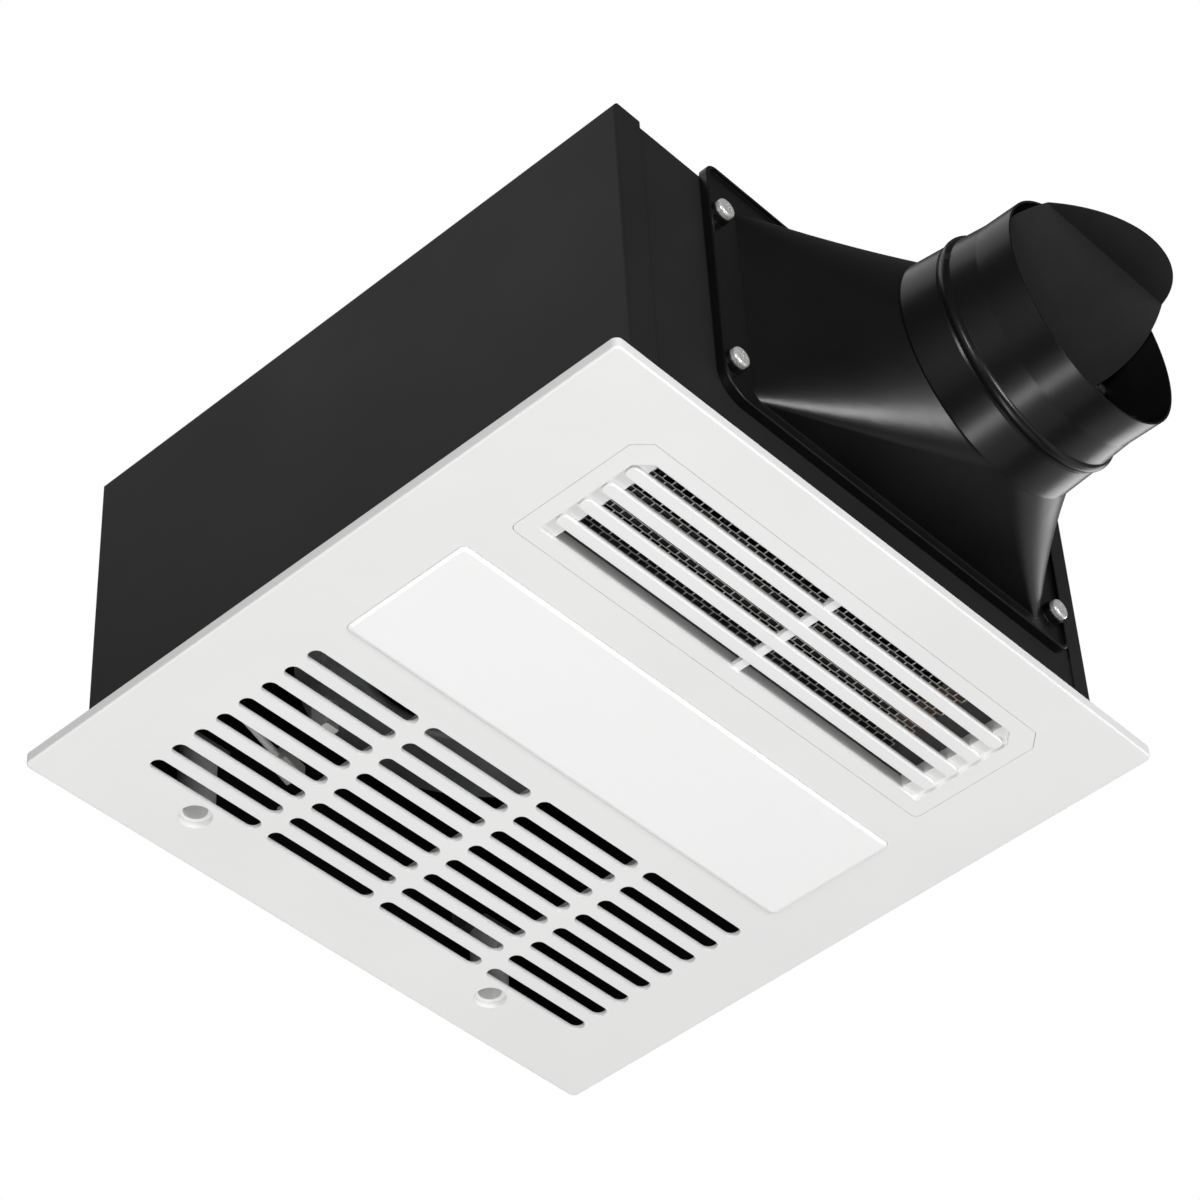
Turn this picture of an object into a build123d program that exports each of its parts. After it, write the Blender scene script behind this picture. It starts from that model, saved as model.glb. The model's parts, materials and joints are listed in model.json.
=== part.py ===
from build123d import *
from math import cos, degrees, pi, radians, sin, sqrt, tan
import os

# A ceiling-mounted bathroom unit: exhaust blower, heater and light in one folded sheet
# housing, with a square grille panel below and a round duct collar on one end.
# Millimetres. +Z is up into the ceiling, +X runs toward the duct collar.
# The origin is the centre of the four hanging holes, on the top plate's outer face.

os.makedirs("parts", exist_ok=True)

# Clearances
lie_gap = 0.3        # between pieces that only lie side by side
slip_gap = 0.15      # round a piece that drops into an opening
shaft_gap = 0.05     # radial, between a shaft and its bush
air_gap = 1.0        # between a thing that turns and what stands still

# Housing
sheet = 0.9
bend = 1.5
housing_length = 289.0
housing_width = 268.0
housing_height = 155.0
front_lap = 13.8
back_lap = 10.2
bottom_lips = (3.5, 12.0)
hanging_x, hanging_y = 110.0, 100.0
hanging_hole_r = 3.25

# Grille panel
panel_size = 310.0
panel_rim = 5.0
panel_wall = 2.2
panel_corner = 3.0
slot_rows, slot_columns = 8, 4
slot_length, slot_width = 56.4, 6.9
slot_row_pitch, slot_column_pitch = 12.4, 62.2
slot_field_x = -75.4
rib_height, rib_wall = 4.6, 1.6
well_x = -131.4
well_ys = (-87.3, 78.8)
well_r, well_depth = 6.9, 3.0
screw_tube_r, screw_tube_wall, screw_tube_depth = 4.95, 3.0, 12.0
screw_boss_height, grille_tab = 33.0, 1.6
hook_y, hook_width, hook_thick, hook_reach = 80.0, 20.0, 2.0, 4.6

# Light
lens_x, lens_length, lens_width = 17.9, 62.0, 243.6
lens_corner, lens_bevel, lens_proud, lens_thick = 3.0, 1.6, 0.8, 2.4
flange_margin, flange_thick = 2.8, 1.5
tray_height, tray_sheet = 20.0, 0.8
board_thick, board_margin = 1.6, 8.0
chip_rows, chip_columns, chip_size, chip_height = 2, 12, 3.5, 0.8
driver_length, driver_width, driver_height = 110.0, 34.0, 22.0

# Louvre for the warm air
louvre_x, louvre_length, louvre_width = 99.2, 65.2, 232.6
louvre_chamfer, louvre_corner = 6.4, 3.0
pocket_width, pocket_depth, pocket_chamfer = 216.8, 2.0, 6.0
louvre_rows, louvre_pitch, opening_width = 5, 11.35, 6.2
slat_width, slat_setback, louvre_floor, cross_rib = 5.6, 0.3, 1.2, 4.0
slat_corner, slat_edge, slat_end_gap = 2.4, 0.5, 1.2
skirt_wall, skirt_height = 1.6, 8.0

# Duct adapter and collar. Heights here are below the top plate's outer face.
adapter_y = (-85.4, 119.2)
adapter_z = (-121.9, 5.5)
adapter_corner, adapter_big_corner = 6.5, 13.0
gasket_thick, adapter_plate, adapter_lip, adapter_lip_wall = 1.0, 1.6, 4.2, 1.5
mouth_y = (-71.0, 105.5)
mouth_z = (-114.1, -7.6)
mouth_corner, adapter_wall, adapter_waist = 4.0, 2.0, 5.0
adapter_length = 41.5
adapter_screw_y = (-80.0, 111.4)
adapter_screw_z = (-105.1, -21.8)
boss_r, boss_height = 5.0, 6.0
collar_y, collar_z = 32.0, -58.5
collar_length, collar_sheet, collar_r = 50.0, 0.8, 50.0
band_r, band_end_r, band_length = 53.4, 52.0, 16.2
groove_r, groove_width, bead_r, bead_width = 51.6, 1.0, 52.9, 5.0
cone_r, cone_length = 51.2, 11.8
neck_length, seat_r = 5.0, 44.5

# Damper
flap_r, flap_sheet, flap_crease, flap_lip_angle = 45.3, 0.8, 27.3, 39.0
flap_open_angle = 16.0
pivot_back, pivot_above = 30.0, 14.8
damper_pin_r, damper_bush_r, knuckle_r, knuckle_length = 1.5, 2.6, 2.6, 9.0
damper_bush_in, damper_pin_end = 44.4, 48.6

# Exhaust blower
wheel_x, wheel_y = -55.0, -5.0
wheel_r, wheel_eye_r, wheel_gap, blade_count, blade_wall = 60.0, 49.0, 4.5, 32, 0.9
post_length, scroll_above_heater, scroll_sheet = 10.2, 8.0, 0.8
cutoff_clearance, spiral_step, outlet_width, tongue_r = 7.0, 6.5, 73.5, 13.0
inlet_r, inlet_roll, scroll_flange = 50.0, 4.0, 6.0
motor_r, motor_rise, motor_wall = 35.0, 22.2, 1.2
motor_shaft_r, hub_r, hub_height, cup_gap = 4.0, 9.0, 12.0, 4.0
stator_bore_r, bush_r, bush_length = 19.0, 8.0, 8.0
post_r, screw_r, screw_head_r, screw_head_height = 5.0, 2.0, 4.4, 2.5
screw_length = 12.0
post_spots = ((-35, 76.0), (-135, 77.0), (-235, 87.0))
capacitor_r, capacitor_length = 11.0, 42.0

# Heater
heater_length, heater_width, heater_sheet = 62.8, 204.6, 0.8
strap_width, strap_foot = 22.0, 12.0
guard_above_face, guard_thick, guard_rows, guard_columns, guard_wire = 26.5, 0.8, 8, 18, 1.0
bar_count, bar_wall, bar_height, bar_end = 6, 2.0, 10.0, 14.0
fin_pitch, fin_wall = 9.0, 0.5
crossflow_r, crossflow_end, crossflow_blades, crossflow_shaft_r = 17.0, 15.0, 18, 2.5
crossflow_above_bars, crossflow_headroom = 3.4, 4.0
heater_motor_r, heater_motor_room = 17.0, 9.8
cutout_inset, cutout_r, cutout_plate = 44.0, 8.0, 28.0

# Wiring
cable_hole_r, cable_y, cable_z = 11.0, -104.0, -32.1
box_length, box_width, box_height, box_sheet = 60.0, 40.0, 60.0, 0.8
lead_r, lead_bend = 1.6, 8.0

# Levels and faces worked out from the driving dimensions
z_ceiling = sheet - housing_height
z_face = z_ceiling - panel_rim
z_wall_back = z_face + panel_wall
body_x = housing_length / 2 - sheet
body_y = housing_width / 2 - sheet
body_floor = z_ceiling + sheet
rim_x = body_x + adapter_length + collar_length
flange_top = z_wall_back + flange_thick + lie_gap
pocket_length = (louvre_rows - 1) * louvre_pitch + opening_width
guard_z = z_face + guard_above_face
bar_z = (guard_z + guard_thick + lie_gap, guard_z + guard_thick + lie_gap + bar_height)
crossflow_z = bar_z[1] + crossflow_above_bars + crossflow_r
heater_top = crossflow_z + crossflow_r + crossflow_headroom
scroll_floor_z, scroll_top_z = heater_top + scroll_above_heater, -sheet - post_length


def write(node, *pieces):
    """Write one sub-part. Several solids make one node."""
    solids = [solid for piece in pieces for solid in piece.solids()]
    export_step(Compound(solids), f"parts/{node}.step")


def block(x, y, z):
    """A box between three pairs of limits."""
    size = [high - low for low, high in (x, y, z)]
    return Pos(*[(low + high) / 2 for low, high in (x, y, z)]) * Box(*size)


def rod(start, end, radius):
    """A round bar from one point to another."""
    line = Vector(*end) - Vector(*start)
    return extrude(Plane(origin=start, z_dir=line) * Circle(radius), amount=line.length)


def tube(start, end, outer, inner):
    return rod(start, end, outer) - rod(start, end, inner)


def open_box(x, y, z, wall, side):
    """A thin-walled box whose open side is -1 for the bottom or 1 for the top."""
    inner_z = (z[0] - 1, z[1] - wall) if side < 0 else (z[0] + wall, z[1] + 1)
    inner = block((x[0] + wall, x[1] - wall), (y[0] + wall, y[1] - wall), inner_z)
    return block(x, y, z) - inner


def pan_screw(seat, direction, shank_length, shank_r=screw_r, head_r=screw_head_r):
    """A pan head screw with a cross recess. Its head's underside is at the seat."""
    plane = Plane(origin=seat, z_dir=direction)
    head = extrude(plane * Circle(head_r), amount=screw_head_height)
    head = fillet(head.faces().sort_by(Axis(seat, direction))[-1].edges(), screw_head_height * 0.45)
    top = plane.offset(screw_head_height - 0.9)
    cross = Rectangle(head_r * 1.1, 0.9) + Rectangle(0.9, head_r * 1.1)
    shank = extrude(plane * Circle(shank_r), amount=-shank_length)
    return head + shank - extrude(top * cross, amount=2)


def along_y(profile, low, high):
    """Extrude a sketch that was drawn in X and Z from one Y to another."""
    return extrude(Plane.XZ.offset(-high) * profile, amount=high - low)


# The folded body: top plate, two end walls and the lips round the bottom opening
def make_body():
    height = -z_ceiling
    outer = Pos(0, -height / 2) * RectangleRounded(2 * body_x, height, bend)
    inner = Pos(0, -height / 2) * RectangleRounded(
        2 * (body_x - sheet), height - 2 * sheet, bend - sheet
    )
    mouth = Pos((bottom_lips[0] - bottom_lips[1]) / 2, -height) * Rectangle(
        2 * body_x - sum(bottom_lips), 4 * sheet
    )
    body = along_y(outer - inner - mouth, -body_y, body_y)
    for x in (-hanging_x, hanging_x):
        for y in (-hanging_y, hanging_y):
            body -= rod((x, y, 1), (x, y, -2 * sheet), hanging_hole_r)
    body -= block((body_x - 2 * sheet, body_x + 1), outlet_y(slip_gap + scroll_sheet),
                  outlet_z(slip_gap))
    for y, z in adapter_screws():
        body -= rod((body_x - 2 * sheet, y, z), (body_x + 1, y, z), screw_r)
    body -= rod((-body_x - 1, cable_y, cable_z), (-body_x + 2 * sheet, cable_y, cable_z),
                cable_hole_r)
    for side in (-1, 1):
        body -= block((hook_x - slip_gap, hook_x + hook_thick + 1.6),
                      hook_span(side, 1.0), (z_ceiling - 1, body_floor + 1))
    for x, y in [*post_places(), earth_place]:
        body -= rod((x, y, 1), (x, y, -2 * sheet), screw_r)
    return body


def side_panel(side, lap):
    """A side panel whose flanges lap over the body's end walls and top plate."""
    outer_y, inner_y = side * housing_width / 2, side * (housing_width / 2 - lap)
    low, high = min(outer_y, inner_y), max(outer_y, inner_y)
    half = housing_length / 2
    tray = block((-half, half), (low, high), (z_ceiling, sheet))
    outside = tray.faces().sort_by(Axis.Y)[0 if side < 0 else -1]
    soft = outside.edges().filter_by(lambda e: e.center().Z > z_ceiling + 1)
    tray = fillet(soft, bend)
    room = (low + sheet, high + 1) if side < 0 else (low - 1, high - sheet)
    return tray - block((-body_x, body_x), room, (z_ceiling - 1, 0))


# Places that several pieces share
def outlet_y(margin=0.0):
    top = wheel_y + cutoff_clearance + wheel_r + 2 * spiral_step
    return (top - outlet_width - margin, top + margin)


def outlet_z(margin=0.0):
    return (scroll_floor_z - margin, scroll_top_z + margin)


def adapter_screws():
    return [(y, z) for y in adapter_screw_y for z in adapter_screw_z]


def hook_span(side, margin=0.0):
    middle = side * hook_y
    return (middle - hook_width / 2 - margin, middle + hook_width / 2 + margin)


def post_places():
    spots = [Vector(reach, 0).rotate(Axis.Z, turn) for turn, reach in post_spots]
    return [(wheel_x + spot.X, wheel_y + spot.Y) for spot in spots]


earth_place = (-66.0, -112.0)
hook_x = body_x - sheet - 7.5

write("housing_body", make_body())
write("side_panel_front", side_panel(-1, front_lap))
write("side_panel_back", side_panel(1, back_lap))


# Duct adapter: flange tray, square-to-round transition and neck
def end_section(width, height, corner, y, z, x):
    """A rounded rectangle standing across the duct."""
    plane = Plane(origin=(x, y, z), x_dir=(0, 1, 0), z_dir=(1, 0, 0))
    return plane * RectangleRounded(width, height, corner)


def transition(inset):
    """The passage from the mouth to the neck, all round smaller by the inset."""
    width, height = mouth_y[1] - mouth_y[0], mouth_z[1] - mouth_z[0]
    mid_y, mid_z = sum(mouth_y) / 2, sum(mouth_z) / 2
    round_size, round_corner = 2 * neck_r, neck_r - 1
    first = (width, height, mouth_corner, mid_y, mid_z)
    last = (round_size, round_size, round_corner, collar_y, collar_z)
    middle = [(a + b) / 2 for a, b in zip(first, last)]
    middle[0] -= 2 * adapter_waist / 2
    middle[1] -= adapter_waist / 4
    sections = []
    for share, (w, h, r, y, z) in ((0, first), (0.5, middle), (1, last)):
        x = plate_x + (body_x + adapter_length - plate_x) * share
        sections.append(end_section(w - 2 * inset, h - 2 * inset, r - inset, y, z, x))
    return loft([section.face() for section in sections])


def flange_outline(inset):
    """The tray's outline. One lower corner is rounder than the others."""
    y = [adapter_y[0] + inset, adapter_y[1] - inset]
    z = [adapter_z[0] + inset, adapter_z[1] - inset]
    plane = Plane(origin=(body_x, 0, 0), x_dir=(0, 1, 0), z_dir=(1, 0, 0))
    face = Pos((y[0] + y[1]) / 2, (z[0] + z[1]) / 2) * Rectangle(y[1] - y[0], z[1] - z[0])
    face = fillet(face.vertices().sort_by(lambda v: v.X + v.Y)[0], adapter_big_corner - inset)
    sharp = [v for v in face.vertices() if min(abs(v.X - end) for end in y) < 0.01
             and min(abs(v.Y - end) for end in z) < 0.01]
    return plane * fillet(sharp, adapter_corner - inset)


plate_x = body_x + gasket_thick
band_taper = (band_r - band_end_r) / band_length
neck_r = band_r - band_taper * neck_length - collar_sheet - slip_gap
flap_tip_back = (pivot_back + damper_pin_r + flap_sheet
                 + (flap_r - flap_crease) * tan(radians(flap_lip_angle)) + flap_sheet)


def mouth_cut(x0, x1, inset):
    width, height = mouth_y[1] - mouth_y[0], mouth_z[1] - mouth_z[0]
    section = end_section(width - 2 * inset, height - 2 * inset, mouth_corner - inset,
                          sum(mouth_y) / 2, sum(mouth_z) / 2, x0)
    return extrude(section, amount=x1 - x0)


def make_adapter():
    lip = extrude(flange_outline(0), amount=adapter_lip)
    lip = fillet(lip.faces().sort_by(Axis.X)[-1].edges(), adapter_lip_wall * 0.4)
    lip -= extrude(flange_outline(adapter_lip_wall), amount=adapter_lip)
    plate = Pos(gasket_thick, 0, 0) * extrude(flange_outline(adapter_lip_wall / 2),
                                              amount=adapter_plate)
    base_x = body_x + adapter_length
    neck = rod((base_x, collar_y, collar_z), (base_x + neck_length, collar_y, collar_z), neck_r)
    adapter = lip + plate + transition(0) + neck
    for y, z in adapter_screws():
        adapter += rod((plate_x, y, z), (body_x + boss_height, y, z), boss_r)
    adapter -= mouth_cut(body_x, plate_x + 0.01, adapter_wall)
    adapter -= transition(adapter_wall)
    bore = neck_r - adapter_wall
    seat_x = rim_x - flap_tip_back - lie_gap
    adapter -= rod((seat_x, collar_y, collar_z), (rim_x, collar_y, collar_z), bore)
    adapter -= rod((base_x - 1, collar_y, collar_z), (rim_x, collar_y, collar_z), seat_r)
    for y, z in adapter_screws():
        adapter -= rod((body_x, y, z), (body_x + boss_height + 1, y, z), screw_r)
    return adapter


def make_gasket():
    outline = extrude(flange_outline(adapter_lip_wall + lie_gap), amount=gasket_thick)
    gasket = outline - mouth_cut(body_x - 1, plate_x + 1, adapter_wall)
    for y, z in adapter_screws():
        gasket -= rod((body_x - 1, y, z), (plate_x + 1, y, z), screw_r + lie_gap)
    return gasket


write("duct_adapter", make_adapter())
write("adapter_gasket", make_gasket())
write("adapter_screws", *[
    pan_screw((body_x + boss_height, y, z), (1, 0, 0), boss_height + 6) for y, z in adapter_screws()
])


# Collar: a thin sleeve with a wide base band, a rolled bead and a plain spigot
def collar_line(inset):
    """The sleeve's outer line, from its base to its rim, moved in by the inset."""
    base, band_end = -collar_length, band_length - collar_length
    rise = band_end + groove_width
    fall = rise + bead_width
    crest = ((rise + fall) / 2, bead_r - inset)
    points = [(base, band_r - inset), (band_end, band_end_r - inset), (rise, groove_r - inset)]
    ends = [(fall, cone_r - inset), (fall + cone_length, collar_r - inset), (0, collar_r - inset)]
    return [Line(points[0], points[1]), Line(points[1], points[2]),
            ThreePointArc(points[2], crest, ends[0]),
            Line(ends[0], ends[1]), Line(ends[1], ends[2])]


def turned(edges):
    """Turn a closed line about the collar's axis."""
    plane = Plane(origin=(rim_x, collar_y, collar_z), x_dir=(1, 0, 0), z_dir=(0, -1, 0))
    return revolve(plane * make_face(edges), Axis((rim_x, collar_y, collar_z), (1, 0, 0)))


def make_collar():
    ends = [Line((-collar_length, band_r), (-collar_length, band_r - collar_sheet)),
            Line((0, collar_r), (0, collar_r - collar_sheet))]
    collar = turned(collar_line(0) + collar_line(collar_sheet) + ends)
    for side in (-1, 1):
        collar -= damper_rod(side * damper_bush_in, side * (bead_r + 1), damper_bush_r)
    return collar


def make_bush(side):
    """A bush through the collar's wall, trimmed flush with the bead outside."""
    inside = turned(collar_line(0) + [Line((0, collar_r), (0, 0)), Line((0, 0), (-collar_length, 0)),
                                      Line((-collar_length, 0), (-collar_length, band_r))])
    bush = damper_rod(side * damper_bush_in, side * (bead_r + 1), damper_bush_r) & inside
    return bush - damper_rod(side * (damper_bush_in - 1), side * (damper_pin_end + lie_gap),
                             damper_pin_r + shaft_gap)


# Damper: a creased disc on a pin whose ends turn in two bushes in the bead's groove
pivot_x, pivot_z = rim_x - pivot_back, collar_z + pivot_above


def damper_rod(y0, y1, radius):
    return rod((pivot_x, collar_y + y0, pivot_z), (pivot_x, collar_y + y1, pivot_z), radius)


def make_flap():
    """Built shut, where it fills the bore as a circle, then swung open about its pin."""
    off, low = damper_pin_r + flap_sheet / 2, -pivot_above
    crease_z, reach = low - flap_crease, flap_r + 4
    lean = radians(flap_lip_angle)
    long_lip = (reach - flap_crease) / cos(lean)
    middle = [(-off, low + reach), (-off, crease_z),
              (-off - long_lip * sin(lean), crease_z - long_lip * cos(lean))]
    section = trace(Polyline(*middle), line_width=flap_sheet)
    sheet_part = extrude(Plane.XZ * section, amount=reach, both=True)
    flap = sheet_part & rod((-60, 0, low), (20, 0, low), flap_r)
    for side in (-1, 1):
        y = side * (flap_r - 17)
        flap += rod((0, y - knuckle_length / 2, 0), (0, y + knuckle_length / 2, 0), knuckle_r)
    flap -= rod((0, -flap_r - 1, 0), (0, flap_r + 1, 0), damper_pin_r)
    return Pos(pivot_x, collar_y, pivot_z) * Rot(0, -90 - flap_open_angle, 0) * flap


write("duct_collar", make_collar())
write("damper_bushes", make_bush(-1), make_bush(1))
write("damper_pin", damper_rod(-damper_pin_end, damper_pin_end, damper_pin_r))
write("damper_flap", make_flap())


# Levels of the light, and the places of its screws
tray_floor = flange_top
tray_top = tray_floor + tray_height
tray_x = (lens_x - lens_length / 2 - flange_margin, lens_x + lens_length / 2 + flange_margin)
tray_y = (-lens_width / 2 - flange_margin, lens_width / 2 + flange_margin)
board_top = tray_top - tray_sheet
board_x = (tray_x[0] + board_margin, tray_x[1] - board_margin)
board_y = (tray_y[0] + board_margin, tray_y[1] - board_margin)


def tray_screw_places():
    return [(x, side * (tray_y[1] + 4)) for x in (lens_x - 20, lens_x + 20) for side in (-1, 1)]


def led_screw_places():
    return [(x, y) for x in (board_x[0] + 4, board_x[1] - 4) for y in (board_y[0] + 4, board_y[1] - 4)]


# Grille panel
def louvre_outline(margin=0.0):
    """The insert's outline, with two cut corners on the duct side."""
    length, width = louvre_length + 2 * margin, louvre_width + 2 * margin
    face = Pos(louvre_x, 0) * Rectangle(length, width)
    corners = face.vertices().sort_by(Axis.X)
    face = chamfer(corners[2:], louvre_chamfer)
    return fillet(face.vertices().sort_by(Axis.X)[:2], louvre_corner)


def lens_outline(margin=0.0):
    return Pos(lens_x, 0) * RectangleRounded(lens_length + 2 * margin, lens_width + 2 * margin,
                                             lens_corner + margin)


def slot_places():
    return [Pos(slot_field_x, 0) * place for place in
            GridLocations(slot_row_pitch, slot_column_pitch, slot_rows, slot_columns)]


def make_panel():
    outer = extrude(Plane.XY.offset(z_face) * RectangleRounded(panel_size, panel_size, panel_corner),
                    amount=panel_rim)
    outer = fillet(outer.faces().sort_by(Axis.Z)[0].edges(), 0.9)
    inner_size = panel_size - 2 * panel_wall
    panel = outer - extrude(
        Plane.XY.offset(z_wall_back) * RectangleRounded(inner_size, inner_size, 1.0), amount=panel_rim
    )
    back = Plane.XY.offset(z_wall_back)
    rib_x = (slot_field_x - slot_row_pitch * (slot_rows / 2 - 0.5) + 8, slot_field_x + slot_row_pitch * 4)
    for column in range(1, slot_columns):
        y = (column - slot_columns / 2) * slot_column_pitch
        panel += block(rib_x, (y - rib_wall / 2, y + rib_wall / 2),
                       (z_wall_back, z_wall_back + rib_height))
    tube_top = z_face + screw_boss_height
    for y in well_ys:
        panel += rod((well_x, y, z_face + 1), (well_x, y, tube_top), screw_tube_r + screw_tube_wall)
    for x, y in tray_screw_places():
        panel += rod((x, y, z_wall_back), (x, y, tray_floor), 3.5)
    for side in (-1, 1):
        y = hook_span(side)
        panel += block((hook_x, hook_x + hook_thick), y, (z_wall_back, body_floor + lie_gap + 2))
        panel += block((hook_x, hook_x + hook_thick + hook_reach), y,
                       (body_floor + lie_gap, body_floor + lie_gap + 2))
    slots = Sketch() + [place * SlotOverall(slot_length, slot_width, rotation=90)
                        for place in slot_places()]
    cut = Plane.XY.offset(z_face - 1)
    panel -= extrude(cut * slots, amount=panel_wall + 1)
    panel -= extrude(cut * louvre_outline(slip_gap), amount=panel_wall + 2)
    panel -= extrude(cut * lens_outline(slip_gap), amount=panel_wall + 2)
    for x, y in tray_screw_places():
        panel -= rod((x, y, z_face + 1), (x, y, tray_floor + 1), 1.5)
    for y in well_ys:
        panel -= rod((well_x, y, z_face - 1), (well_x, y, z_face + well_depth), well_r)
        panel -= rod((well_x, y, z_face), (well_x, y, z_face + screw_tube_depth), screw_tube_r)
        panel -= rod((well_x, y, z_face), (well_x, y, tube_top + 1), screw_r + slip_gap)
    return panel


write("grille_panel", make_panel())


# Brackets on the end wall that take the panel's two screws
def grille_bracket(y):
    tab_z = z_face + screw_boss_height + lie_gap
    tab = block((-body_x + sheet, well_x + 8), (y - 10, y + 10), (tab_z, tab_z + grille_tab))
    ear = block((-body_x + sheet, -body_x + sheet + grille_tab), (y - 10, y + 10),
                (tab_z, tab_z + 16))
    return tab + ear - rod((well_x, y, tab_z - 1), (well_x, y, tab_z + 3), screw_r)


write("grille_brackets", *[grille_bracket(y) for y in well_ys])
grille_screw_length = screw_boss_height - screw_tube_depth + lie_gap + grille_tab + 3
write("grille_screws", *[
    pan_screw((well_x, y, z_face + screw_tube_depth), (0, 0, -1), grille_screw_length)
    for y in well_ys
])


# Louvre insert: a recessed floor with slots, rounded slats over it and one cross rib
def make_louvre():
    pocket = Pos(louvre_x, 0) * Rectangle(pocket_length, pocket_width)
    pocket = chamfer(pocket.vertices().sort_by(Axis.X)[2:], pocket_chamfer)
    wall = Pos(louvre_x, 0) * Rectangle(pocket_length + 2 * louvre_floor,
                                        pocket_width + 2 * louvre_floor)
    face = Plane.XY.offset(z_face)
    floor_z = z_face + pocket_depth
    insert = extrude(face * louvre_outline(), amount=panel_wall)
    insert += extrude(Plane.XY.offset(z_wall_back) * louvre_outline(flange_margin),
                      amount=flange_thick)
    insert += extrude(face * wall, amount=pocket_depth + louvre_floor)
    insert -= extrude(face * pocket, amount=pocket_depth)
    first_row = louvre_x - pocket_length / 2
    skirt_y = heater_width / 2 - heater_sheet - lie_gap
    skirt_z = (floor_z, z_face + skirt_height)
    insert += block((first_row - skirt_wall, first_row + pocket_length + skirt_wall),
                    (-skirt_y, skirt_y), skirt_z)
    insert -= block((first_row, first_row + pocket_length),
                    (skirt_wall - skirt_y, skirt_y - skirt_wall),
                    (floor_z + louvre_floor, skirt_z[1] + 1))
    slat_half = pocket_width / 2 - slat_end_gap
    for gap_index in range(1, louvre_rows):
        x = louvre_x + (gap_index - louvre_rows / 2) * louvre_pitch
        height = pocket_depth - slat_setback + 0.2
        slat = Pos(x, 0) * RectangleRounded(slat_width, 2 * slat_half, slat_corner)
        slat = extrude(Plane.XY.offset(z_face + slat_setback) * slat, amount=height)
        insert += fillet(slat.faces().sort_by(Axis.Z)[0].edges(), slat_edge)
    rib = block((louvre_x - pocket_length / 2, louvre_x + pocket_length / 2),
                (-cross_rib / 2, cross_rib / 2), (z_face + slat_setback + 0.6, floor_z))
    insert += rib
    for row in range(louvre_rows):
        x = louvre_x + (row - (louvre_rows - 1) / 2) * louvre_pitch
        for side in (-1, 1):
            y = sorted((side * cross_rib / 2, side * (skirt_y - skirt_wall)))
            insert -= block((x - opening_width / 2, x + opening_width / 2), y,
                            (floor_z - 0.01, floor_z + louvre_floor + 1))
    return insert


write("heater_louvre", make_louvre())


# Light: lens, tray, board, light-emitting chips, driver
def make_lens():
    lens = extrude(Plane.XY.offset(z_face - lens_proud) * lens_outline(),
                   amount=lens_proud + panel_wall)
    lens = chamfer(lens.faces().sort_by(Axis.Z)[0].edges(), lens_proud * 0.8, lens_bevel)
    lens += extrude(Plane.XY.offset(z_wall_back) * lens_outline(flange_margin), amount=flange_thick)
    room = extrude(Plane.XY.offset(z_face - lens_proud + lens_thick) * lens_outline(-2.5),
                   amount=10)
    return lens - room


def make_tray():
    tray = open_box(tray_x, tray_y, (tray_floor, tray_top), tray_sheet, -1)
    for x, y in tray_screw_places():
        ear = block((x - 6, x + 6), sorted((y + 4 * (1 if y > 0 else -1), tray_y[y > 0])),
                    (tray_floor, tray_floor + tray_sheet))
        tray += ear - rod((x, y, tray_floor - 1), (x, y, tray_floor + 2), 1.5)
    for x, y in led_screw_places():
        tray -= rod((x, y, board_top - 1), (x, y, tray_top + 1), 1.5)
    return tray


def make_board():
    board = block(board_x, board_y, (board_top - board_thick, board_top))
    for x, y in led_screw_places():
        board -= rod((x, y, board_top - 4), (x, y, board_top + 1), 1.5)
    return board


def make_chips():
    places = GridLocations((board_x[1] - board_x[0]) / 2, (board_y[1] - board_y[0]) / chip_columns,
                           chip_rows, chip_columns)
    z = board_top - board_thick - chip_height / 2
    return [Pos((board_x[0] + board_x[1]) / 2, 0, z) * place * Box(chip_size, chip_size, chip_height)
            for place in places]


def make_driver():
    x = sum(tray_x) / 2
    case = block((x - driver_width / 2, x + driver_width / 2), (-driver_length / 2, driver_length / 2),
                 (tray_top, tray_top + driver_height))
    case = fillet(case.edges().filter_by(Axis.Z), 3)
    for side in (-1, 1):
        y = sorted((side * driver_length / 2, side * (driver_length / 2 + 9)))
        case += block((x - 9, x + 9), y, (tray_top, tray_top + 2))
    return case


write("lens", make_lens())
write("led_tray", make_tray())
write("led_board", make_board())
write("led_chips", *make_chips())
write("led_screws", *[
    pan_screw((x, y, board_top - board_thick), (0, 0, -1), 5, 1.5, 2.8) for x, y in led_screw_places()
], *[
    pan_screw((x, y, tray_floor + tray_sheet), (0, 0, 1), 3.5, 1.5, 2.8)
    for x, y in tray_screw_places()
])
write("led_driver", make_driver())


# Exhaust blower: a spiral of three quarter arcs, each one step larger, with a straight outlet
spiral_start = (wheel_x + wheel_r + cutoff_clearance, wheel_y)
outlet_x = body_x


def scroll_face():
    """The passage seen from above, from the outlet's inner wall round to its outer wall."""
    radius = wheel_r + cutoff_clearance
    centre = Vector(wheel_x, wheel_y)
    start = Vector(*spiral_start)
    inner_y, outer_y = outlet_y()
    corner = Vector(spiral_start[0] + inner_y - spiral_start[1], inner_y)
    turn = corner - start
    middle = Vector(corner.X - turn.X * cos(pi / 4), start.Y + turn.Y * sin(pi / 4))
    lines = Line((outlet_x, inner_y), corner) + ThreePointArc(corner, middle, start)
    point = start
    for quarter in range(3):
        angle = -90 * quarter
        end = centre + Vector(radius, 0).rotate(Axis.Z, angle - 90)
        half = centre + Vector(radius, 0).rotate(Axis.Z, angle - 45)
        lines += ThreePointArc(point, half, end)
        point = end
        centre = centre - Vector(spiral_step, 0).rotate(Axis.Z, angle - 90)
        radius += spiral_step
    lines += Line(point, (outlet_x, outer_y)) + Line((outlet_x, outer_y), (outlet_x, inner_y))
    return make_face(lines)


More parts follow.
